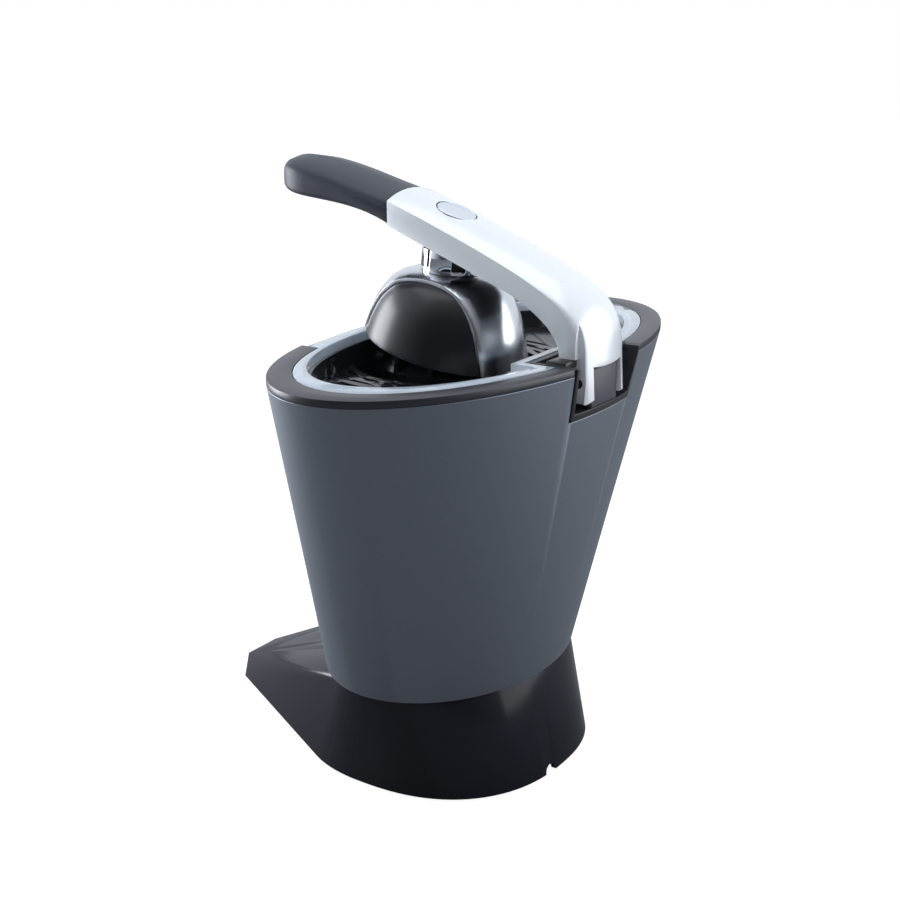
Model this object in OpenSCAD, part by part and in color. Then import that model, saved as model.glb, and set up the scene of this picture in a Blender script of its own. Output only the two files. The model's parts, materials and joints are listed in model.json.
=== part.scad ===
// Citrus press juicer: an oval tapered body on a round base with a long foot,
// a lever arm with a domed press head, a reamer driven from below.
// Origin on the drive axis at the ground, +Z up, the spout and grip towards -Y.

/* [Body] */
// height of the upper edge of the metal body shell
rim_z = 225; // [205:1:250]
// half width of the body oval at the rim
rim_p = 144.4; // [136:0.2:156]
// half depth of the body oval at the rim
rim_q = 75.5; // [74:0.1:84]
// how far the rim oval sits behind the drive axis
rim_y = 20.5; // [18:0.1:24]
// height of the seam between body shell and base
seam_z = 55; // [48:1:64]
// half width of the oval at the seam
seam_p = 82; // [78:0.5:92]
// half depth of the oval at the seam
seam_q = 61; // [59:0.5:68]
// thickness of the body shell
wall = 2.2; // [1.6:0.1:2.6]
// height of the black rim ring above the shell
ring_h = 3.6; // [3:0.1:5]
// width of the flat top of the ring at the ends of the oval
ring_w = 14.6; // [12:0.2:16]
// half width of the gap in the ring for the clear spout lip
lip_half = 62; // [54:1:70]

/* [Base] */
// half width of the footprint of the skirt
skirt_p = 76; // [72:0.5:84]
// half depth of the footprint of the skirt
skirt_q = 74.5; // [70:0.5:82]
// how far the foot reaches forward of the drive axis
foot_y = 141; // [125:1:155]
// half width of the blunt end of the foot
foot_half = 13; // [10:0.5:18]
// height of the blunt end of the foot
foot_z = 17; // [12:0.5:22]
// thickness of the base moulding
base_wall = 2.6; // [2:0.1:3.4]
// radius of the cable notch in the back of the skirt
notch_r = 4.4; // [3:0.2:6]

/* [Lever] */
// width of the lever arm
arm_w = 46; // [42:0.5:49]
// height of the hinge pin below the rim
pin_drop = 7; // [6:0.2:8]
// distance of the hinge pin behind the drive axis
pin_y = 88; // [87:0.2:89]
// radius of the hinge pin
pin_r = 2.4; // [2:0.1:2.8]
// radius of the release button
button_r = 10.5; // [8:0.25:12]
// travel of the release button
button_travel = 1.6; // [1:0.1:1.8]

/* [Press head] */
// room for the pressed peel between the reamer and the press bowl
peel_room = 4.6; // [3.5:0.1:5]
// half width of the chrome band over the bowl
band_half = 23.2; // [18:0.4:26]
// tilt of the lower edge of the bowl, front up
head_tilt = 13.9; // [8:0.1:15]
// radius of the slotted chrome collar
collar_r = 15.7; // [13:0.1:17]

/* [Juicing] */
// radius of the reamer at its base
cone_r = 36; // [33:0.5:37]
// height of the reamer over its base
cone_h = 55; // [52:0.5:57]
// number of ribs on the reamer
ribs = 10; // [8:1:12]
// number of rings of slots in the strainer
slot_rings = 3; // [2:1:4]
// radius of the drive shaft
shaft_r = 4; // [3.5:0.1:4.5]
// axial travel of the reamer that starts the motor
start_travel = 1.5; // [1:0.1:2]

/* [Hidden] */
fine = 120;
gap = 0.3;
run = 0.05;
top_z = rim_z + ring_h;
pin_z = rim_z - pin_drop;
head_z = rim_z - 11;
head_r = cone_r + peel_room + 2.6;
tub_z = rim_z - 42;
tray_z = rim_z - 38;
cone_z = rim_z - 25;
strain_z = rim_z - 13;
well_z = rim_z - 29;
well_r = max(head_r + 8, cone_r + 12);
deck_z = seam_z;
gear_z = seam_z + 60;
cover_z = gear_z + 32;
in_p = rim_p - ring_w;
in_q = rim_q - 10;
tub_t = (tub_z - seam_z) / (rim_z - seam_z);
tub_p = seam_p + tub_t * (rim_p - seam_p) - wall - 0.8;
tub_q = seam_q + tub_t * (rim_q - seam_q) - wall - 0.9;
tub_y = 3 + tub_t * (rim_y - 3);
tray_p = rim_p - 25;
tray_q = rim_q - 12.5;
tray_y = rim_y - 2.5;
arm_h = arm_w / 2;
head_y = -3.2;
lift = rim_z - 225;

// radius of the ogive of the reamer h above its base
function ogive(h) = h < 21 ? cone_r - 2.5 * h / 21
    : (cone_r - 2.5) * sqrt(max(0, 1 - pow((h - 21) / (cone_h - 21), 2.3)));
function bez(a, b, c, d, t) = a * pow(1 - t, 3) + 3 * b * t * pow(1 - t, 2)
    + 3 * c * t * t * (1 - t) + d * pow(t, 3);
function curve(a, b, c, d, n = 10) = [for (i = [0:n]) bez(a, b, c, d, i / n)];
// scale of the tapered body between seam (0) and rim (1) at height z
function taper(z) = (z - seam_z) / (rim_z - seam_z);

module oval(p, q, n = 2, k = fine)
    polygon([for (i = [0:k - 1]) let (a = 360 * i / k, c = cos(a), s = sin(a))
        [p * sign(c) * pow(abs(c), 2 / n), q * sign(s) * pow(abs(s), 2 / n)]]);
module plate(z, h) translate([0, 0, z]) linear_extrude(h) children();
module mirror_x() for (m = [0, 1]) mirror([m, 0, 0]) children();
// a (y, z) outline given width w along X
module side(w) rotate([90, 0, 90]) translate([0, 0, -w / 2]) linear_extrude(w) children();
module axle(y, z, r, w) translate([-w / 2, y, z]) rotate([0, 90, 0]) cylinder(r = r, h = w, $fn = 48);
module tube(z, h, ro, ri) translate([0, 0, z]) difference() {
    cylinder(r = ro, h = h, $fn = 64);
    translate([0, 0, -1]) cylinder(r = ri, h = h + 2, $fn = 64);
}
// oval ring of the tapered body at height z, shrunk by d on every side
function ring_at(z, d, k = fine) = let (t = taper(z), p = seam_p + t * (rim_p - seam_p) - d,
    q = seam_q + t * (rim_q - seam_q) - d) [for (i = [0:k - 1])
        [p * cos(360 * i / k), 3 + t * (rim_y - 3) + q * sin(360 * i / k), z]];
// skin through rings of k points each, from ring r to ring r + 1
function skin(k, r) = [for (i = [0:k - 1]) let (a = r * k, b = a + k, j = (i + 1) % k)
    each [[a + i, b + i, b + j], [a + i, b + j, a + j]]];
function cap(k, r) = [for (i = [0:k - 1]) r * k + i];
function lid(k, r) = [for (i = [k - 1:-1:0]) r * k + i];
module loft(rings) let (k = len(rings[0]), n = len(rings))
    polyhedron([for (r = rings) each r],
        concat([cap(k, 0), lid(k, n - 1)], [for (r = [0:n - 2]) each skin(k, r)]));
// wall of the tapered body between the seam and the rim
module taper_wall(t) let (rings = [ring_at(seam_z, 0), ring_at(rim_z, 0), ring_at(rim_z, t), ring_at(seam_z, t)])
    polyhedron([for (r = rings) each r], concat([for (r = [0:2]) each skin(fine, r)],
        [for (i = [0:fine - 1]) let (j = (i + 1) % fine)
            each [[3 * fine + i, i, j], [3 * fine + i, j, 3 * fine + j]]]));
// coil of round wire about +Z
module coil(r, wire, h, turns, k = 14) {
    n = turns * k;
    pts = [for (i = [0:n], j = [0:5]) let (a = 360 * i / k, b = 60 * j)
        [(r + wire * cos(b)) * cos(a), (r + wire * cos(b)) * sin(a), h * i / n + wire * sin(b)]];
    polyhedron(pts, concat([[for (j = [0:5]) j]],
        [for (i = [0:n - 1], j = [0:5]) let (q = (j + 1) % 6)
            [i * 6 + j, i * 6 + 6 + j, i * 6 + 6 + q]],
        [for (i = [0:n - 1], j = [0:5]) let (q = (j + 1) % 6)
            [i * 6 + j, i * 6 + 6 + q, i * 6 + q]],
        [[for (j = [5:-1:0]) n * 6 + j]]));
}
// spur wheel of module 1 with trapezoid teeth, turned by phase teeth
module wheel(z, h, teeth, phase = 0) plate(z, h)
    polygon([for (i = [0:teeth - 1], k = [0:3]) let (a = 360 * (i + phase + [-0.27, -0.1, 0.1, 0.27][k]) / teeth,
        q = teeth / 2 + ((k == 1 || k == 2) ? 0.75 : -1.05)) [q * cos(a), q * sin(a)]]);

// ---------------------------------------------------------------- body and base
// outline of the hinge notch in the back of the shell, in XZ
module notch(d, over) polygon([[-30.5 + d, rim_z - 24 + d], [30.5 - d, rim_z - 24 + d],
    [33.3 - d, rim_z], [33.3 - d, top_z + over], [-33.3 + d, top_z + over], [-33.3 + d, rim_z]]);
module notch_cut(y, d, over = 5) translate([0, y + 60, 0]) rotate([90, 0, 0]) linear_extrude(60) notch(d, over);

module body_shell() color([0.42, 0.44, 0.47]) difference() {
    taper_wall(wall);
    notch_cut(60, 0);
    // slot for the spout, open upwards
    translate([-12.4, -90, rim_z - 39]) cube([24.8, 60, 60]);
}

// half of the rim ring on the +X side
module rim_half() difference() {
    plate(rim_z, ring_h) translate([0, rim_y]) oval(rim_p, rim_q);
    plate(rim_z - 1, ring_h + 2) translate([0, rim_y]) oval(in_p, in_q);
    plate(rim_z - 1, 2.6) translate([0, rim_y]) oval(rim_p - 0.8, rim_q - 0.8);
    translate([-200, 50, rim_z - 1]) cube([233.6, 80, 10]);
    translate([-200, -90, rim_z - 1]) cube([212.4, 200, 10]);
    translate([-200, -90, rim_z + 1.6]) cube([200 + lip_half, 80, 10]);
}
module rim_right() color([0.16, 0.16, 0.17]) rim_half();
module rim_left() color([0.16, 0.16, 0.17]) mirror([1, 0, 0]) rim_half();

// plan of the tub and tray with the hinge pocket taken out of the back
module pocketed(p, q, y, half, cut) difference() {
    translate([0, y]) oval(p, q);
    translate([-half, cut]) square([2 * half, 80]);
}

module inner_tub() color([0.08, 0.08, 0.09]) difference() {
    union() {
        plate(tub_z, rim_z - tub_z + 1) pocketed(tub_p, tub_q, tub_y, 33.6, 67.5);
        plate(rim_z, 1.6) pocketed(rim_p - 1, rim_q - 1, rim_y, 33.6, 67.5);
        tube(tub_z - 12, 14, 12, 9);
        tube(tub_z + 1, 13, 10, 9);
    }
    difference() {
        plate(tub_z + 2, 60) pocketed(tub_p - 2, tub_q - 2, tub_y, 35.6, 65.5);
        tube(tub_z, 14, 10, 9);
    }
    translate([0, 0, tub_z - 13]) cylinder(r = 9, h = 60, $fn = 64);
    translate([-12.4, -90, rim_z - 39]) cube([24.8, 60, 60]);
}

module hinge_housing() color([0.1, 0.1, 0.11]) {
    difference() {
        intersection() {
            notch_cut(68, gap, 0);
            loft([ring_at(rim_z - 45, -0.6), ring_at(top_z + 20, -0.6)]);
        }
        notch_cut(70.6, 2.8);
    }
    // band under the legs
    intersection() {
        notch_cut(68, gap, 0);
        loft([ring_at(rim_z - 45, -0.6), ring_at(top_z + 20, -0.6)]);
        translate([-40, 60, rim_z - 24]) cube([80, 60, 4]);
    }
    // rests under the front legs of the arm
    mirror_x() translate([20.2, 77, rim_z + 1.6]) cube([11.2, 10.6, 3.6]);
}

module hinge_tower() color([0.13, 0.13, 0.14]) difference() {
    union() {
        side(26) polygon([[79, rim_z - 20], [92.4, rim_z - 20], [92.4, pin_z + 5], [91.6, pin_z + 6.6],
            [89.6, pin_z + 7.4], [84, pin_z + 6.8], [81.4, pin_z + 5], [79, pin_z - 2]]);
        axle(pin_y, pin_z, 4.4, 26);
    }
    axle(pin_y, pin_z, pin_r + run, 30);
    // pocket for the torsion spring
    translate([-5, 70, pin_z - 9.5]) cube([10, pin_y + pin_r + 1.1 - 70, 30]);
}

module hinge_pin() color([0.75, 0.76, 0.78]) axle(pin_y, pin_z, pin_r, 38.6);
module hinge_spring() color([0.7, 0.7, 0.72]) translate([-4.2, pin_y, pin_z]) rotate([0, 90, 0])
    coil(pin_r + 0.5, 0.35, 8.4, 9);

module base_housing() color([0.07, 0.07, 0.08]) {
    difference() {
        skirt(0, 1, seam_z);
        skirt(base_wall, 0, seam_z - 4);
        translate([11.5, 40, 1]) rotate([-90, 0, 0]) cylinder(r = notch_r, h = 50, $fn = 48);
        for (a = [0:45:359]) rotate([0, 0, a]) translate([20, -2, seam_z - 5]) cube([10, 4, 6]);
    }
    // lip that locates the body shell
    difference() {
        plate(seam_z, 7) translate([0, 3]) oval(seam_p - wall - gap, seam_q - wall - gap);
        plate(seam_z - 1, 9) translate([0, 3]) oval(seam_p - wall - gap - 2, seam_q - wall - gap - 2);
    }
    // screw pillars
    for (p = feet) translate([p[0], p[1], 4]) difference() {
        cylinder(r = 5, h = p[2], $fn = 32);
        translate([0, 0, -1]) cylinder(r = 1.6, h = 11, $fn = 32);
    }
}
// x, y and pillar height of the five feet
feet = [[0, -foot_y + 16, foot_z - 0.4], for (x = [-1, 1], y = [-20, 44]) [x * (y < 0 ? 50 : 38), y, seam_z - 7]];
module skirt(d, z0, z1) hull() {
    plate(z0, 0.02) oval(skirt_p - d, skirt_q - d, 2.35, 96);
    plate(z1 - 0.02, 0.02) translate([0, 3]) oval(seam_p - 1.2 - d, seam_q - 1.2 - d, 2, 96);
    translate([-foot_half + d, -foot_y + d, z0]) cube([2 * foot_half - 2 * d, 4, 0.02]);
    translate([-foot_half + d + 0.5, -foot_y + d + 3.4, z0]) cube([2 * foot_half - 2 * d - 1, 4, foot_z - d - z0]);
}

module base_plate() color([0.12, 0.12, 0.13]) difference() {
    plate(1.6, 2.4) hull() {
        oval(skirt_p - base_wall - 1.6, skirt_q - base_wall - 1.6, 2.35, 96);
        translate([-foot_half + base_wall + 1.6, -foot_y + base_wall + 3]) square([2 * foot_half - 2 * base_wall - 3.2, 4]);
    }
    for (p = feet) translate([p[0], p[1], 0]) cylinder(r = 2, h = 10, $fn = 32);
    translate([3.5, skirt_q - 15, 0]) cube([16, 20, 10]);
}
module base_screws() color([0.7, 0.7, 0.72]) for (p = feet) translate([p[0], p[1], 0.4]) {
    cylinder(r = 3, h = 1.2, $fn = 32);
    cylinder(r = 1.5, h = 12, $fn = 32);
}
module rubber_feet() color([0.05, 0.05, 0.05]) for (p = feet) translate([p[0], p[1], 0])
    difference() {
        cylinder(r = 7, h = 1.6, $fn = 40);
        translate([0, 0, 0.3]) cylinder(r = 3.4, h = 5, $fn = 40);
    }

// ---------------------------------------------------------------- drive
module motor_can() color([0.62, 0.63, 0.65]) difference() {
    union() {
        translate([0, 0, deck_z]) cylinder(r = 31, h = 54, $fn = 64);
        translate([0, 0, deck_z]) cylinder(r = 9, h = 57, $fn = 48);
    }
    translate([0, 0, deck_z + 6]) cylinder(r = 3.2, h = 60, $fn = 48);
}
module motor_rotor() color([0.8, 0.8, 0.82]) {
    translate([0, 0, deck_z + 8]) cylinder(r = 3, h = 61, $fn = 48);
    wheel(gear_z + 1.5, 9, 14);
}
module gear_case() color([0.3, 0.31, 0.33]) {
    difference() {
        plate(gear_z - 3, 3) hull() { circle(r = 36, $fn = 64); translate([32, 0]) circle(r = 32, $fn = 64); }
        translate([0, 0, gear_z - 4]) cylinder(r = 9.2, h = 6, $fn = 48);
        translate([32, 0, gear_z - 4]) cylinder(r = 2.52, h = 6, $fn = 32);
    }
    for (p = case_posts) translate([p[0], p[1], gear_z]) cylinder(r = 2.6, h = 29, $fn = 32);
    // ring that sits the case on the motor
    tube(deck_z + 54, gear_z - 3 - deck_z - 54, 30, 12);
}
case_posts = [[-31, 0], [0, 32], [0, -32], [61, 0]];
module gear_cover() color([0.3, 0.31, 0.33]) difference() {
    union() {
        plate(cover_z - 3, 3) hull() { circle(r = 36, $fn = 64); translate([32, 0]) circle(r = 32, $fn = 64); }
        translate([0, 0, cover_z - 8]) cylinder(r = 8, h = 8, $fn = 48);
        translate([32, 0, cover_z - 5]) cylinder(r = 5, h = 5, $fn = 48);
    }
    translate([0, 0, cover_z - 9]) cylinder(r = shaft_r + run, h = 12, $fn = 48);
    translate([32, 0, cover_z - 9]) cylinder(r = 2.52, h = 12, $fn = 32);
}
module idler_axle() color([0.75, 0.76, 0.78]) translate([32, 0, gear_z - 3]) cylinder(r = 2.5, h = 32, $fn = 32);
module idler_gear() color([0.85, 0.83, 0.76]) difference() {
    union() {
        translate([32, 0, 0]) wheel(gear_z + 1.5, 8, 50, 0.5);
        translate([32, 0, 0]) wheel(gear_z + 9.5, 14, 16, 0.5);
    }
    translate([32, 0, gear_z]) cylinder(r = 2.5 + run, h = 40, $fn = 32);
}
module output_gear() color([0.85, 0.83, 0.76]) difference() {
    union() {
        wheel(gear_z + 14, 7, 48);
        translate([0, 0, gear_z + 20]) cylinder(r = 8, h = 3.8, $fn = 48);
    }
    translate([0, 0, gear_z]) cylinder(r = shaft_r + 0.1, h = 40, $fn = 6);
}
module drive_shaft() color([0.8, 0.8, 0.82]) {
    translate([0, 0, gear_z + 13]) cylinder(r = shaft_r, h = 14, $fn = 6);
    translate([0, 0, gear_z + 26]) cylinder(r = shaft_r, h = rim_z - 7 - gear_z - 26, $fn = 48);
    // flange over the spring and the collar that stops under the bush
    translate([0, 0, cover_z + 8]) cylinder(r = 10.5, h = 1.6, $fn = 48);
    translate([0, 0, cover_z + 9]) cylinder(r = 6, h = tub_z - 19.2 - cover_z, $fn = 48);
    translate([0, 0, rim_z - 7]) cylinder(r = shaft_r, h = 18, $fn = 6);
}
module shaft_spring() color([0.7, 0.7, 0.72]) translate([0, 0, cover_z + 0.8]) coil(6, 0.6, 6.4, 5);
module start_switch() color([0.12, 0.12, 0.13]) translate([8.2, -3, cover_z]) difference() {
    cube([13, 6, 5.4]);
    translate([-0.1 + 0.4, 2, 1]) cube([1.9, 2, 8]);
}
module switch_plunger() color([0.8, 0.2, 0.15]) translate([8.6, -0.9, cover_z + 3.2]) cube([1.7, 1.8, 4.7]);
module shaft_bush() color([0.78, 0.62, 0.3]) tube(tub_z - 10, 13, 8.9, shaft_r + run);
module shaft_seal() color([0.05, 0.05, 0.05]) tube(tub_z + 3, 5, 8.9, shaft_r + run);

// ---------------------------------------------------------------- juicing set
module juice_tray() color([0.85, 0.9, 0.93, 0.5]) difference() {
    union() {
        plate(tray_z, rim_z + 1.6 - tray_z) pocketed(tray_p, tray_q, tray_y, 36.5, 64);
        // flange on the tub, with the wide lip at the front
        plate(rim_z + 1.6, ring_h - 1.8) difference() {
            union() {
                translate([0, rim_y]) oval(in_p - 0.4, in_q - 0.4);
                intersection() {
                    translate([0, rim_y]) oval(rim_p - 5, rim_q - 4.6);
                    translate([-lip_half + 0.4, -90]) square([2 * lip_half - 0.8, 90]);
                }
            }
            translate([-33.8, 66]) square([67.6, 60]);
        }
        // spout through the front of the body, and the panel that fills the slot above it
        translate([-10.5, rim_y - rim_q - 25, tray_z]) cube([21, 36.5, 15]);
        translate([-12, rim_y - rim_q - 0.4, tray_z]) cube([24, 2.2, rim_z + 1.6 - tray_z]);
        mirror_x() translate([8, rim_y - rim_q, tray_z]) cube([2, 14, rim_z + 1.6 - tray_z]);
        tube(tray_z - 2, 24, 12.4, 10.2);
    }
    plate(tray_z + 2, 60) pocketed(tray_p - 2.2, tray_q - 2.2, tray_y, 38.7, 61.8);
    translate([-8.5, rim_y - rim_q - 27, tray_z + 2]) cube([17, 60, 13.1]);
    translate([-8.5, rim_y - rim_q - 27, tray_z + 2]) cube([17, 26.5, 20]);
    translate([0, 0, tray_z - 3]) cylinder(r = 10.2, h = 40, $fn = 64);
}

module strainer() color([0.09, 0.09, 0.1]) difference() {
    union() {
        plate(strain_z, 12) pocketed(tray_p - 2.8, tray_q - 2.8, tray_y, 39.3, 61.2);
        plate(well_z, strain_z - well_z + 1) intersection() {
            circle(r = well_r, $fn = 96);
            pocketed(tray_p - 2.8, tray_q - 2.8, tray_y, 39.3, 61.2);
        }
        // ring of feet on the floor of the tray
        tube(tray_z + 2, well_z - tray_z - 1, 40.6, 38.6);
    }
    difference() {
        union() {
            plate(strain_z + 2, 60) pocketed(tray_p - 4.4, tray_q - 4.4, tray_y, 40.9, 59.6);
            plate(well_z + 1.8, 60) intersection() {
                circle(r = well_r - 1.8, $fn = 96);
                pocketed(tray_p - 4.4, tray_q - 4.4, tray_y, 40.9, 59.6);
            }
        }
        tube(well_z, 18, 15.6, 13);
    }
    translate([0, 0, well_z - 1]) cylinder(r = 13, h = 40, $fn = 64);
    for (a = [0:45:359]) rotate([0, 0, a]) translate([30, -6, tray_z + 1]) cube([20, 12, 4]);
    // rings of slots in the two wings of the floor
    for (m = [0, 180], k = [0:slot_rings - 1], a = [-30:20:30])
        rotate([0, 0, m + a - 7]) translate([0, 0, strain_z - 1])
            rotate_extrude(angle = 12, $fn = 72) translate([well_r + 2.8 + 7 * k, 0]) square([2, 6]);
    for (a = [15:30:359]) rotate([0, 0, a]) translate([22, -1, well_z - 1]) cube([12, 2, 4]);
}

module reamer() color([0.2, 0.21, 0.22]) difference() {
    union() {
        // lobed core under the ribs
        translate([0, 0, cone_z]) rotate_extrude($fn = 72)
            polygon(concat([[0, 0], [cone_r, 0], [ogive(13), 13]],
                [for (h = [15:3:cone_h - 3]) [max(0.1, ogive(h) - min(4.6, (h - 13) * 1.1)), h]],
                [[0, cone_h - 2.5]]));
        for (i = [0:ribs - 1]) rotate([0, 0, (i + 0.5) * 360 / ribs]) translate([0, 1.5, cone_z])
            rotate([90, 0, 0]) linear_extrude(3)
                polygon(concat([[0, 10]], [for (h = [10:2.5:cone_h - 1]) [ogive(h), h]], [[0, cone_h]]));
    }
    translate([0, 0, cone_z - 1]) difference() {
        cylinder(r1 = cone_r - 5.5, r2 = cone_r - 10.5, h = 20, $fn = 72);
        translate([0, 0, 17]) cylinder(r = 9, h = 30, $fn = 48);
    }
    translate([0, 0, cone_z - 1]) cylinder(r = shaft_r + 0.15, h = 37.1, $fn = 6);
    translate([0, 0, cone_z - 1]) cylinder(r = shaft_r + run + 0.1, h = 19.1, $fn = 48);
}

// ---------------------------------------------------------------- lever arm and press head
// crown of the arm: its back line, and how far the crown falls from there at u half widths
function arm_back(t) = [0, lift] + (t < 0.45 ? bez([-24, 304.4], [2.6, 295], [28.2, 285.2], [52.9, 274.4], t / 0.45)
    : t < 0.88 ? bez([52.9, 274.4], [79.6, 262.2], [94.4, 254.8], [94.3, 230.4], (t - 0.45) / 0.43)
    : [94.3, 230.4] + [1.3, -23.4] * (t - 0.88) / 0.12);
function arm_drop(t, u) = let (s = max(0, min(1, (t - 0.45) / 0.43)))
    (1 - s) * 4.5 * pow(abs(u), 2.2) + s * 6.4 * (1 - sqrt(max(0, 1 - pow(abs(u), 2.5))));
// closed section square to the back line, from one side over the crown to the other
function arm_section(t) = let (b = arm_back(t), e = arm_back(t + 0.001) - arm_back(t - 0.001),
    d = [e[1], -e[0]] / norm(e)) concat([for (j = [-7:7]) let (u = sin(90 * j / 7), q = b + d * arm_drop(t, u))
        [arm_h * u, q[0], q[1]]], [for (m = [1, -1]) [arm_h * m, b[0] + 26 * d[0], b[1] + 26 * d[1]]]);
module arm_crown() loft([for (k = [0:28]) arm_section(k / 28)]);
bot = [[-21.6, 286.4], [51.2, 258.4], [59.7, 254], [66.7, 249.3], [72.3, 244.6], [76.4, 239.6], [78.6, 235], [79.2, 230.3]];
module lift_y() translate([0, lift]) children();
module arm_shape() lift_y() polygon(concat([[-21.6, 315], [100, 315], [100, 215.7], [93, 208.2], [83.4, 208.2],
    [81, 211], [81, 230.3]],
    [for (i = [len(bot) - 1:-1:0]) bot[i]]));
module arm_hollow() lift_y() polygon(concat([[-30, 299.6]], [[-21.6, 296.2]],
    curve([46, 269.8], [62, 263.4], [74, 256], [78.4, 246], 8),
    [[79.4, 238], [79.4, 225], [60, 225], [60, 250], [51, 252], [-30, 284]]));

module lever_arm() color([0.85, 0.86, 0.88]) difference() {
    intersection() {
        side(arm_w + 10) arm_shape();
        arm_crown();
    }
    side(arm_w - 7) arm_hollow();
    // room for the tower between the legs
    axle(pin_y, pin_z, 9.6, 28.4);
    translate([-14.2, 70, pin_z - 20]) cube([28.4, 40, 20]);
    axle(pin_y, pin_z, pin_r + run, arm_w - 7);
    // channel between front leg and back leg on both sides
    mirror_x() {
        translate([arm_h - 3.6, 88, pin_z - 20]) cube([6, 4.2, 51]);
        translate([arm_h - 3.6, 70, pin_z - 20]) cube([6, 22.2, 32.3]);
    }
    place_button() cylinder(r = button_r + 0.5, h = 30, center = true, $fn = 72);
}
// frame of the release button on the sloping top of the arm
module place_button() translate([0, 5.26, 292.3 + lift]) rotate([-21.4, 0, 0]) children();

// section of the grip at s, from the arm (0) to the tip (1)
function grip_section(s) = let (v = max(0, (s - 0.69) / 0.31), top = bez(302.8, 309.4, 319.3, 318.1, s),
    low = bez(286.3, 297.7, 294.5, 300.6, s), a = (arm_h - 0.1) * pow(1 - pow(v, 2.2), 1 / 2.2),
    h = (top - low) / 2 * (1 - 0.36 * pow(v, 4)), n = 7 + 2.4 * pow(1 - min(1, s / 0.3), 2))
    [for (i = [0:31]) let (f = 360 * i / 32, c = cos(f), e = sin(f), x = sign(c) * pow(abs(c), 2 / n))
        [a * x, -21.9 - 78.1 * s, lift + (top + low) / 2 + h * sign(e) * pow(abs(e), 2 / n)
            - (e > 0 ? (4.2 + min(0.8, 4 * s)) * x * x * h * 2 / (top - low) : 0)]];
module arm_grip() color([0.1, 0.1, 0.11]) difference() {
    loft([for (k = [0:21]) grip_section(k < 12 ? 0.69 * k / 12 : 0.69 + 0.31 * sin(9.8 * (k - 12)))]);
    side(arm_w - 17) tang(0.1);
}
module tang(d) lift_y() polygon([[-21, 295.6 + d], [-40, 303.4 + d], [-60, 309 + d], [-60 - d, 300.5 - d],
    [-40, 297.6 - d], [-21, 291.4 - d]]);
module arm_tang() color([0.3, 0.31, 0.33]) union() {
    side(arm_w - 17.2) tang(0);
    side(arm_w - 7.2) lift_y() polygon([[-21.5, 296], [-10, 291.5], [-10, 287.4], [-21.5, 291.8]]);
}

module under_plate() color([0.12, 0.12, 0.13]) {
    side(arm_w - 7.2) lift_y() polygon([[-21.5, 286.6], [51.2, 258.6], [58.6, 254.8], [58.6, 257], [51.8, 260.6], [-21.5, 288.8]]);
}
module release_button() color([0.72, 0.73, 0.75]) place_button() difference() {
    translate([0, 0, -5]) cylinder(r = button_r, h = 6.2, $fn = 72);
    translate([0, 0, -6]) cylinder(r = button_r - 2.5, h = 4.5, $fn = 72);
}
module button_spring() color([0.7, 0.7, 0.72]) place_button() translate([0, 0, -12.2]) coil(5, 0.45, 10.2, 5);

// shoulder line of the head h above its widest edge, and the solid of it grown by d
head_line = concat([[2.8, -3], [1.5, 2], [0, 6]], curve([-0.9, 10], [-3.6, 22], [-6.2, 32], [-13.5, 41.5], 7),
    curve([-15.2, 43.2], [-20, 47.6], [-27, 49.4], [-head_r - 1.5, 49.7], 5));
module head_solid(d) translate([0, 0, head_z]) rotate_extrude($fn = 96)
    polygon(concat([[0, -8 - d]], [for (p = head_line) [max(0, head_r + 1.5 + p[0] + (p[1] < 49.7 ? d : 0)), p[1]
        + (p[1] > 32 ? d * min(1, (p[1] - 32) / 15) : p[1] < 0 ? -5 : 0)]]));
module place_head() translate([0, 0, rim_z + 19]) rotate([-6.2, 0, 0]) translate([0, 0, -rim_z - 19]) children();
module head_cut() translate([0, head_y, rim_z - 0.7]) rotate([-head_tilt, 0, 0])
    translate([-100, -100, -200]) cube(200);
module press_band() color([0.8, 0.81, 0.83]) difference() {
    place_head() difference() {
        intersection() {
            head_solid(0);
            translate([-band_half, -60, head_z - 40]) cube([2 * band_half, 120, 100]);
        }
        head_solid(-1.25);
        translate([0, 0, head_z]) cylinder(r = 8.3, h = 80, $fn = 48);
    }
    head_cut();
}
module press_bowl() color([0.06, 0.06, 0.07]) difference() {
    place_head() difference() {
        head_solid(-1.5);
        head_solid(-4.1);
    }
    head_cut();
}
module press_collar() color([0.82, 0.83, 0.85]) difference() {
    place_head() difference() {
        tube(head_z + 40, 20.2, collar_r, collar_r - 2.2);
        head_solid(0.2);
        // slots that leave separate fingers above a closed ring
        mirror_x() for (s = [[-21.5, 8], [33, 27], [67.5, 3.5]]) translate([0, 0, head_z + 51.4])
            rotate([0, 0, s[0]]) rotate_extrude(angle = s[1], $fn = 72) translate([8, 0]) square([12, 60]);
    }
    above_arm();
}
module collar_core() color([0.07, 0.07, 0.08]) difference() {
    place_head() difference() {
        union() {
            translate([0, 0, head_z + 44]) cylinder(r = collar_r - 2.4, h = 60, $fn = 64);
            translate([0, 0, head_z + 40]) cylinder(r = 8, h = 20, $fn = 48);
        }
        head_solid(-1.3);
        difference() {
            head_solid(0.2);
            translate([0, 0, head_z]) cylinder(r = 8, h = 80, $fn = 48);
        }
    }
    above_arm();
}
// everything above the underside of the arm
module above_arm() side(80) lift_y() polygon([[-30, 289.87], [30, 266.76], [30, 330], [-30, 330]]);

body_shell();
rim_right();
rim_left();
inner_tub();
hinge_housing();
hinge_tower();
hinge_pin();
hinge_spring();
base_housing();
base_plate();
base_screws();
rubber_feet();
motor_can();
motor_rotor();
gear_case();
gear_cover();
idler_axle();
idler_gear();
output_gear();
drive_shaft();
shaft_spring();
start_switch();
switch_plunger();
shaft_bush();
shaft_seal();
juice_tray();
strainer();
reamer();
lever_arm();
arm_grip();
arm_tang();
under_plate();
release_button();
button_spring();
press_band();
press_bowl();
press_collar();
collar_core();
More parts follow.
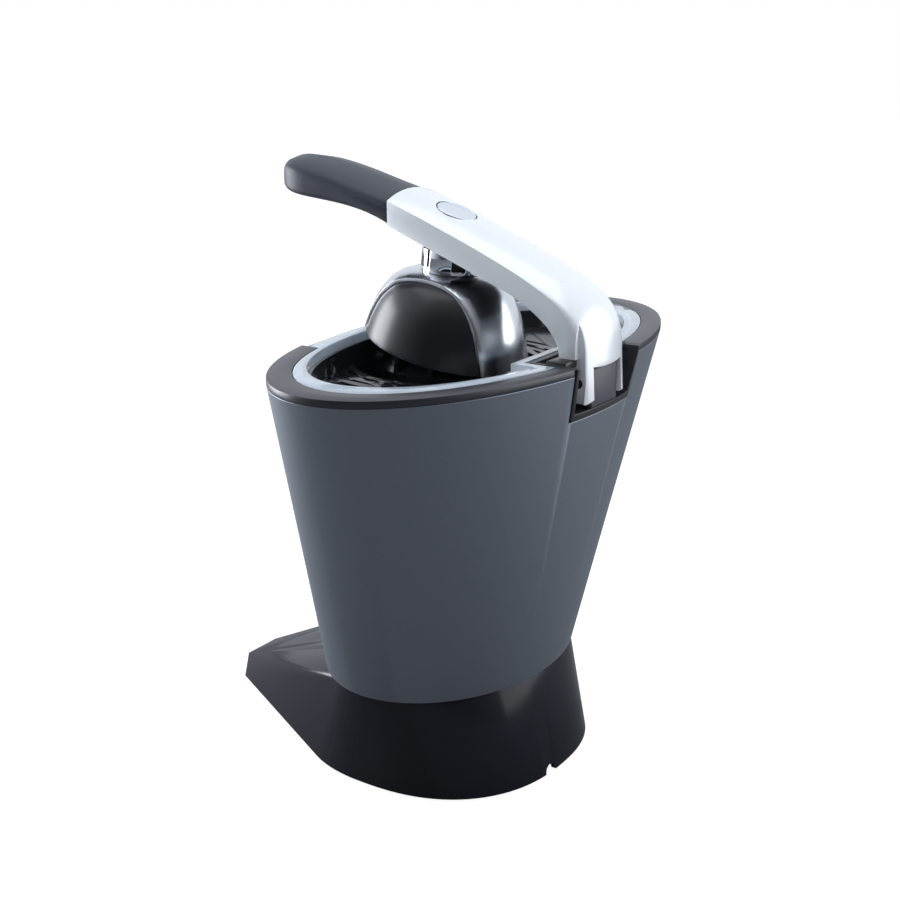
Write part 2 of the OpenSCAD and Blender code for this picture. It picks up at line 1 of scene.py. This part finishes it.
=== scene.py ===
import json
import math

import bmesh
import bpy
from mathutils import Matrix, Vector

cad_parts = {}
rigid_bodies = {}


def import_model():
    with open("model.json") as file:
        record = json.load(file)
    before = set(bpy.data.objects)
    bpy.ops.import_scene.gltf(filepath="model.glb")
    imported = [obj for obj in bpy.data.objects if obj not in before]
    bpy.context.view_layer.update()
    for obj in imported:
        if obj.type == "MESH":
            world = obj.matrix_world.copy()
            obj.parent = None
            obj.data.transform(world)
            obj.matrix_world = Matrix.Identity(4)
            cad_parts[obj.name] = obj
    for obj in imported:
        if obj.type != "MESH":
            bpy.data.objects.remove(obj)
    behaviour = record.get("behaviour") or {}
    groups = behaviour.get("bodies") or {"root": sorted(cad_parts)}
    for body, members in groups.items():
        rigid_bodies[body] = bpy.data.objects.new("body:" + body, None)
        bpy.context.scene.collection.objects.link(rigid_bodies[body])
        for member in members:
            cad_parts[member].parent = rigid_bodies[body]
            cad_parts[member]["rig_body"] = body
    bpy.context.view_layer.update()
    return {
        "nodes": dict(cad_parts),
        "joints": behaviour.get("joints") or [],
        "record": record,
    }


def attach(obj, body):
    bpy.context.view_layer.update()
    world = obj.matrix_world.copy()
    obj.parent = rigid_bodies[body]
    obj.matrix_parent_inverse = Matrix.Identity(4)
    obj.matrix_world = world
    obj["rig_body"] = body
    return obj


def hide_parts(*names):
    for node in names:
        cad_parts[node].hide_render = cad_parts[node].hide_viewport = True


# A citrus press juicer. Its visible CAD nodes are replaced by softened copies with rounded edges,
# every node gets a procedural material, and a light tent stands around it. Lengths are in metres.
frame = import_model()
NODES = frame["nodes"]
SUBPARTS = frame["record"]["subparts"]
SLOTS = {sub["node"]: sub["material_slot"] for sub in SUBPARTS}
JOINTS = {joint["name"]: joint for joint in frame["joints"]}


# ------------------------------------------------------------------ materials
BUMP_DEPTH = 0.0004         # height of the bump in all materials
NOISE_BAND = (0.3, 0.7)     # share of the noise between which the colour changes


def linear(rgb):
    """An sRGB colour as a linear one with full alpha."""
    curve = (v / 12.92 if v <= 0.04045 else ((v + 0.055) / 1.055) ** 2.4 for v in rgb)
    return tuple(curve) + (1.0,)


def mat(name, rgb, metal=0.0, rough=0.4, spec=0.5, coat=0.0, coat_rough=0.05, trans=0.0, ior=1.45,
        vary=0.12, rvary=0.08, vscale=30, bump=0.0, bscale=900, stretch=None):
    """A moulded or metal surface. Noise of scale vscale varies the colour by the share vary and the
    roughness by rvary, and finer noise of scale bscale is the grain. stretch scales both."""
    material = bpy.data.materials.new(name)
    material.use_nodes = True
    tree = material.node_tree
    node, link = tree.nodes.new, tree.links.new
    shader = tree.nodes["Principled BSDF"]
    shader.inputs["Metallic"].default_value = metal
    shader.inputs["Specular IOR Level"].default_value = spec
    shader.inputs["Coat Weight"].default_value = coat
    shader.inputs["Coat Roughness"].default_value = coat_rough
    shader.inputs["IOR"].default_value = ior
    shader.inputs["Transmission Weight"].default_value = trans

    place = node("ShaderNodeTexCoord")
    mapping = node("ShaderNodeMapping")
    if stretch:
        mapping.inputs["Scale"].default_value = stretch
    link(place.outputs["Object"], mapping.inputs["Vector"])
    noise = node("ShaderNodeTexNoise")
    noise.inputs["Scale"].default_value = vscale
    noise.inputs["Detail"].default_value = 5
    link(mapping.outputs["Vector"], noise.inputs["Vector"])

    base = linear(rgb)[:3]
    ramp = node("ShaderNodeValToRGB")
    darker, lighter = ramp.color_ramp.elements
    darker.color = tuple(v * (1 - vary) for v in base) + (1,)
    lighter.color = tuple(min(1, v * (1 + vary)) for v in base) + (1,)
    darker.position, lighter.position = NOISE_BAND
    link(noise.outputs["Fac"], ramp.inputs["Fac"])
    link(ramp.outputs["Color"], shader.inputs["Base Color"])

    gloss = node("ShaderNodeMapRange")
    gloss.inputs["To Min"].default_value = max(0.01, rough - rvary)
    gloss.inputs["To Max"].default_value = min(1, rough + rvary)
    link(noise.outputs["Fac"], gloss.inputs["Value"])
    link(gloss.outputs["Result"], shader.inputs["Roughness"])

    if bump:
        grain = node("ShaderNodeTexNoise")
        grain.inputs["Scale"].default_value = bscale
        grain.inputs["Detail"].default_value = 2
        link(mapping.outputs["Vector"], grain.inputs["Vector"])
        relief = node("ShaderNodeBump")
        relief.inputs["Strength"].default_value = bump
        relief.inputs["Distance"].default_value = BUMP_DEPTH
        link(grain.outputs["Fac"], relief.inputs["Height"])
        link(relief.outputs["Normal"], shader.inputs["Normal"])
    return material


COOL_BLACK = (0.095, 0.105, 0.13)

MATERIALS = {
    # metals of the outside
    "brushed_metal": mat(
        "satin_body_metal", (0.50, 0.525, 0.56), metal=0.9, rough=0.46, rvary=0.015,
        vary=0.025, vscale=700, bump=0.1, bscale=3200),
    "cast_silver": mat(
        "satin_silver_lacquer", (0.90, 0.91, 0.925), metal=0.25, rough=0.27, rvary=0.01,
        vary=0.01, vscale=60, bump=0.01, bscale=3000, coat=0.3, coat_rough=0.12),
    "chrome": mat(
        "satin_chrome", (0.82, 0.83, 0.85), metal=1.0, rough=0.2, rvary=0.03,
        vary=0.03, vscale=40, bump=0.04, bscale=1600, stretch=(6, 1, 1)),
    "bright_chrome": mat(
        "bright_chrome", (0.90, 0.91, 0.93), metal=1.0, rough=0.06, rvary=0.02,
        vary=0.02, vscale=40),
    "button_silver": mat(
        "satin_button", (0.84, 0.86, 0.885), metal=0.7, rough=0.3, rvary=0.04,
        vary=0.03, vscale=200, bump=0.08, bscale=2400, stretch=(1, 8, 1)),
    # dark mouldings
    "gloss_black": mat(
        "gloss_black_moulding", COOL_BLACK, rough=0.13, rvary=0.03, spec=0.22,
        vary=0.1, vscale=25, bump=0.015, bscale=300),
    "bowl_black": mat(
        "satin_black_bowl", COOL_BLACK, rough=0.3, rvary=0.04, spec=0.6,
        vary=0.12, vscale=25, bump=0.02, bscale=900),
    "wet_black": mat(
        "gloss_black_strainer", (0.10, 0.11, 0.13), rough=0.2, rvary=0.03, spec=0.5,
        vary=0.12, vscale=60, coat=0.3),
    "satin_black": mat(
        "satin_black_moulding", (0.10, 0.105, 0.12), rough=0.34, rvary=0.06,
        vary=0.12, vscale=50, bump=0.08, bscale=2500),
    "rim_black": mat(
        "rim_black_moulding", (0.12, 0.135, 0.165), rough=0.38, rvary=0.04, spec=0.7,
        vary=0.1, vscale=50, bump=0.06, bscale=2500),
    "dark_grey": mat(
        "dark_grey_moulding", (0.25, 0.26, 0.28), rough=0.42, rvary=0.06,
        vary=0.12, vscale=40, bump=0.1, bscale=2200),
    "grip": mat(
        "grip_soft_touch", (0.165, 0.185, 0.235), rough=0.45, rvary=0.05, spec=0.4,
        vary=0.08, vscale=45, bump=0.12, bscale=2600),
    "clear_plastic": mat(
        "clear_tray_plastic", (0.90, 0.94, 0.985), rough=0.07, rvary=0.03, trans=0.55, ior=1.48,
        vary=0.02, vscale=40),
    # pieces inside the body
    "steel": mat(
        "ground_steel", (0.72, 0.73, 0.75), metal=1.0, rough=0.25, rvary=0.06,
        vary=0.06, vscale=120, bump=0.06, stretch=(1, 1, 6)),
    "zinc": mat(
        "zinc_sheet", (0.66, 0.67, 0.70), metal=0.95, rough=0.38, rvary=0.08,
        vary=0.12, vscale=60, bump=0.05),
    "rubber": mat(
        "matt_rubber", (0.07, 0.07, 0.075), rough=0.75, rvary=0.08,
        vary=0.15, vscale=80, bump=0.2, bscale=1500),
    "nylon": mat(
        "natural_nylon", (0.87, 0.85, 0.80), rough=0.45, rvary=0.06,
        vary=0.04, vscale=60, bump=0.05),
    "bronze": mat(
        "sintered_bronze", (0.72, 0.52, 0.28), metal=0.9, rough=0.4, rvary=0.08,
        vary=0.12, vscale=300, bump=0.15, bscale=3000),
    "red_plastic": mat(
        "red_plunger", (0.68, 0.10, 0.07), rough=0.35, rvary=0.05,
        vary=0.08, vscale=80, bump=0.05),
}

# nodes whose finish differs from the one of their slot
FINISH = {
    "rim_right": "rim_black",
    "rim_left": "rim_black",
    "arm_grip": "grip",
    "press_collar": "bright_chrome",
    "reamer": "wet_black",
    "press_bowl": "bowl_black",
}
for node_name, slot_name in SLOTS.items():
    slots = NODES[node_name].data.materials
    slots.clear()
    slots.append(MATERIALS[FINISH.get(node_name, slot_name)])


# ------------------------------------------------------------------ pieces
WELD = 2e-6                         # vertices closer than this become one
CORNER = math.radians(30)           # edges that turn more than this are rounded


def round_edges(piece, radius, segments):
    """Rounds the sharp edges of a piece, for good."""
    edge = piece.modifiers.new("edge", "BEVEL")
    edge.width = radius
    edge.segments = segments
    edge.limit_method = "ANGLE"
    edge.angle_limit = CORNER
    edge.use_clamp_overlap = True
    edge.harden_normals = False
    graph = bpy.context.evaluated_depsgraph_get()
    graph.update()
    rounded = bpy.data.meshes.new_from_object(piece.evaluated_get(graph))
    sharp = piece.data
    piece.modifiers.clear()
    piece.data = rounded
    bpy.data.meshes.remove(sharp)


def soften(node, name, material, radius, smooth=35, segments=2, flat=0.6):
    """Replaces a CAD node by a copy with rounded edges. Faces that turn less than flat degrees are
    joined first, and edges that turn less than smooth degrees are shaded smooth."""
    source = NODES[node]
    body, slot = source["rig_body"], SLOTS[node]
    bm = bmesh.new()
    bm.from_mesh(source.data)
    bmesh.ops.remove_doubles(bm, verts=bm.verts, dist=WELD)
    if flat:
        bmesh.ops.dissolve_limit(bm, angle_limit=math.radians(flat), verts=bm.verts, edges=bm.edges)
    mesh = bpy.data.meshes.new(name)
    bmesh.ops.recalc_face_normals(bm, faces=bm.faces)
    bm.to_mesh(mesh)
    bm.free()
    o = bpy.data.objects.new(name, mesh)
    bpy.context.scene.collection.objects.link(o)
    mesh.materials.append(MATERIALS[material])
    round_edges(o, radius, segments)
    o.data.shade_smooth()
    o.data.set_sharp_from_angle(angle=math.radians(smooth))
    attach(o, body)
    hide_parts(node)
    return o


# body and base; joining faces would fill the opening of the rim halves
soften("body_shell", "body_shell_skin", "brushed_metal", radius=0.0004, smooth=20)
soften("base_housing", "base_moulding", "gloss_black", radius=0.0007, smooth=25, segments=3)
soften("rim_right", "rim_right_trim", "rim_black", radius=0.0005, smooth=30, flat=0)
soften("rim_left", "rim_left_trim", "rim_black", radius=0.0005, smooth=30, flat=0)
soften("hinge_housing", "hinge_frame", "satin_black", radius=0.0004)
soften("hinge_tower", "hinge_panel", "dark_grey", radius=0.0005)

# tub, tray and strainer
soften("inner_tub", "tub", "satin_black", radius=0.0003, smooth=30)
soften("juice_tray", "tray", "clear_plastic", radius=0.0003, smooth=30)
soften("strainer", "strainer_basket", "wet_black", radius=0.0003, smooth=30)

# arm, grip and button
lever = soften("lever_arm", "lever", "cast_silver", radius=0.0007, segments=3)
soften("arm_grip", "grip_cover", "grip", radius=0.0015, segments=3)
soften("release_button", "button", "button_silver", radius=0.0006, segments=3)

# press head and the cover under the arm
soften("press_band", "head_band", "chrome", radius=0.0004, smooth=30)
soften("press_bowl", "head_bowl", "bowl_black", radius=0.0008, smooth=30, segments=3)
soften("press_collar", "collar", "bright_chrome", radius=0.0003)
soften("under_plate", "arm_underside", "dark_grey", radius=0.0003)

# the well of the button has a black sleeve
WELL_REACH = 0.0114                 # a little over the radius of the well
WALL = 0.3                          # cosine to the axis below which a face is the well's wall
SLEEVE = 1                          # the lever's second material
well = Vector(JOINTS["button_press"]["pos_m"])
well_axis = -Vector(JOINTS["button_press"]["axis"])
lever.data.materials.append(MATERIALS["satin_black"])
for face in lever.data.polygons:
    offset = face.center - well
    from_axis = (offset - well_axis * offset.dot(well_axis)).length
    if from_axis < WELL_REACH and abs(face.normal.dot(well_axis)) < WALL:
        face.material_index = SLEEVE


# ------------------------------------------------------------------ camera
CAMERA_PLACE = (0.6001, 0.3976, 0.3798)
YAW = 2.1543                        # of the camera, in radians
TILT = math.radians(73.43)          # up from looking straight down
FOCAL_LENGTH = 56.04                # in millimetres, as the width of the sensor is
SENSOR_WIDTH = 36
NEAREST = 0.01                      # what is nearer than this isn't drawn
forward = Vector((-math.sin(YAW), math.cos(YAW), 0))
right = Vector((math.cos(YAW), math.sin(YAW), 0))
up = Vector((0, 0, 1))

optics = bpy.data.cameras.new("camera")
optics.lens = FOCAL_LENGTH
optics.sensor_width = SENSOR_WIDTH
optics.clip_start = NEAREST
camera = bpy.data.objects.new("camera", optics)
bpy.context.scene.collection.objects.link(camera)
camera.location = CAMERA_PLACE
camera.rotation_euler = (TILT, 0, YAW)
bpy.context.scene.camera = camera
bpy.context.scene.view_settings.view_transform = "Standard"


# ------------------------------------------------------------------ stage
FLOOR_REACH = 6.0                   # from the middle to each side of the floor
FLOOR_Z = -0.0002                   # just under the rubber feet
FLOOR_SHADOW = 0.22                 # share of the lamps' light that the camera sees on the floor
FLOOR_GLOW = 0.9                    # what the floor gives off for the camera by itself
TENT_BRIGHT = 1.0                   # strength of the tent behind the object
TENT_DIM = 0.06                     # and on the camera's side
TENT_FADE = (-0.1, 0.8)             # cosines to the dim side between which it fades
LAMP_COLOUR = (0.93, 0.965, 1.0)


def seen_as(tree, lit, seen):
    """The shader seen for camera rays and rays through clear plastic, and lit for all others."""
    path = tree.nodes.new("ShaderNodeLightPath")
    direct = tree.nodes.new("ShaderNodeMath")
    direct.operation = "MAXIMUM"
    tree.links.new(path.outputs["Is Camera Ray"], direct.inputs[0])
    tree.links.new(path.outputs["Is Transmission Ray"], direct.inputs[1])
    mix = tree.nodes.new("ShaderNodeMixShader")
    tree.links.new(direct.outputs[0], mix.inputs[0])
    tree.links.new(lit.outputs[0], mix.inputs[1])
    tree.links.new(seen.outputs[0], mix.inputs[2])
    return mix.outputs[0]


def floor_material():
    """Dim grey for the light, and white for the camera with a faint shadow left in it."""
    material = bpy.data.materials.new("pale_floor")
    material.use_nodes = True
    tree = material.node_tree
    grey = tree.nodes["Principled BSDF"]
    grey.inputs["Base Color"].default_value = (0.2, 0.2, 0.21, 1)
    grey.inputs["Roughness"].default_value = 0.9
    grey.inputs["Specular IOR Level"].default_value = 0.1
    shadow = tree.nodes.new("ShaderNodeBsdfDiffuse")
    shadow.inputs["Color"].default_value = (FLOOR_SHADOW, FLOOR_SHADOW, FLOOR_SHADOW, 1)
    glow = tree.nodes.new("ShaderNodeEmission")
    glow.inputs["Color"].default_value = (1, 1, 1, 1)
    glow.inputs["Strength"].default_value = FLOOR_GLOW
    white = tree.nodes.new("ShaderNodeAddShader")
    tree.links.new(shadow.outputs[0], white.inputs[0])
    tree.links.new(glow.outputs[0], white.inputs[1])
    tree.links.new(seen_as(tree, grey, white), tree.nodes["Material Output"].inputs["Surface"])
    return material


def stage_floor():
    bm = bmesh.new()
    for x, y in ((-1, -1), (1, -1), (1, 1), (-1, 1)):
        bm.verts.new((x * FLOOR_REACH, y * FLOOR_REACH, FLOOR_Z))
    bm.faces.new(bm.verts)
    mesh = bpy.data.meshes.new("floor")
    bm.to_mesh(mesh)
    bm.free()
    mesh.materials.append(floor_material())
    o = bpy.data.objects.new("floor", mesh)
    bpy.context.scene.collection.objects.link(o)


def light_tent():
    """A tent of cool light, bright behind the object and dim on the camera's side."""
    world = bpy.data.worlds.new("studio")
    bpy.context.scene.world = world
    world.use_nodes = True
    tree = world.node_tree
    node, link = tree.nodes.new, tree.links.new
    tent = tree.nodes["Background"]
    tent.inputs["Color"].default_value = (0.90, 0.95, 1.02, 1)
    white = node("ShaderNodeBackground")
    white.inputs["Color"].default_value = (1, 1, 1, 1)
    white.inputs["Strength"].default_value = 1.0
    link(seen_as(tree, tent, white), tree.nodes["World Output"].inputs["Surface"])
    place = node("ShaderNodeTexCoord")
    dim_side = -forward * 0.97 - up * 0.24
    side = node("ShaderNodeVectorMath")
    side.operation = "DOT_PRODUCT"
    side.inputs[1].default_value = dim_side
    link(place.outputs["Generated"], side.inputs[0])
    fade = node("ShaderNodeMapRange")
    fade.interpolation_type = "SMOOTHSTEP"
    fade.inputs["From Min"].default_value, fade.inputs["From Max"].default_value = TENT_FADE
    fade.inputs["To Min"].default_value = TENT_BRIGHT
    fade.inputs["To Max"].default_value = TENT_DIM
    link(side.outputs["Value"], fade.inputs["Value"])
    link(fade.outputs["Result"], tent.inputs["Strength"])


def soft_box(name, place, aim_z, width, height, watts, mirrored=True):
    """A rectangular lamp at place, aimed at the height aim_z of the drive axis. One that isn't
    mirrored lights the surfaces but doesn't show in them."""
    lamp = bpy.data.lights.new(name, "AREA")
    lamp.energy = watts
    lamp.color = LAMP_COLOUR
    lamp.shape = "RECTANGLE"
    lamp.size = width
    lamp.size_y = height
    box = bpy.data.objects.new(name, lamp)
    bpy.context.scene.collection.objects.link(box)
    box.location = place
    box.rotation_euler = (up * aim_z - place).to_track_quat("-Z", "Y").to_euler()
    box.visible_glossy = mirrored


stage_floor()
light_tent()
soft_box("top_soft", up * 1.5 + forward * 0.1, aim_z=0.2, width=1.4, height=1.4, watts=6)
soft_box("front_fill", up * 1.0 - forward * 1.9 + right * 0.2, aim_z=0.2, width=0.9, height=0.9,
         watts=7, mirrored=False)
soft_box("left_box", up * 0.30 + forward * 0.28 - right * 0.75, aim_z=0.10, width=0.5, height=0.6,
         watts=8)
soft_box("right_box", up * 0.34 + right * 0.85, aim_z=0.12, width=0.8, height=0.68, watts=4)
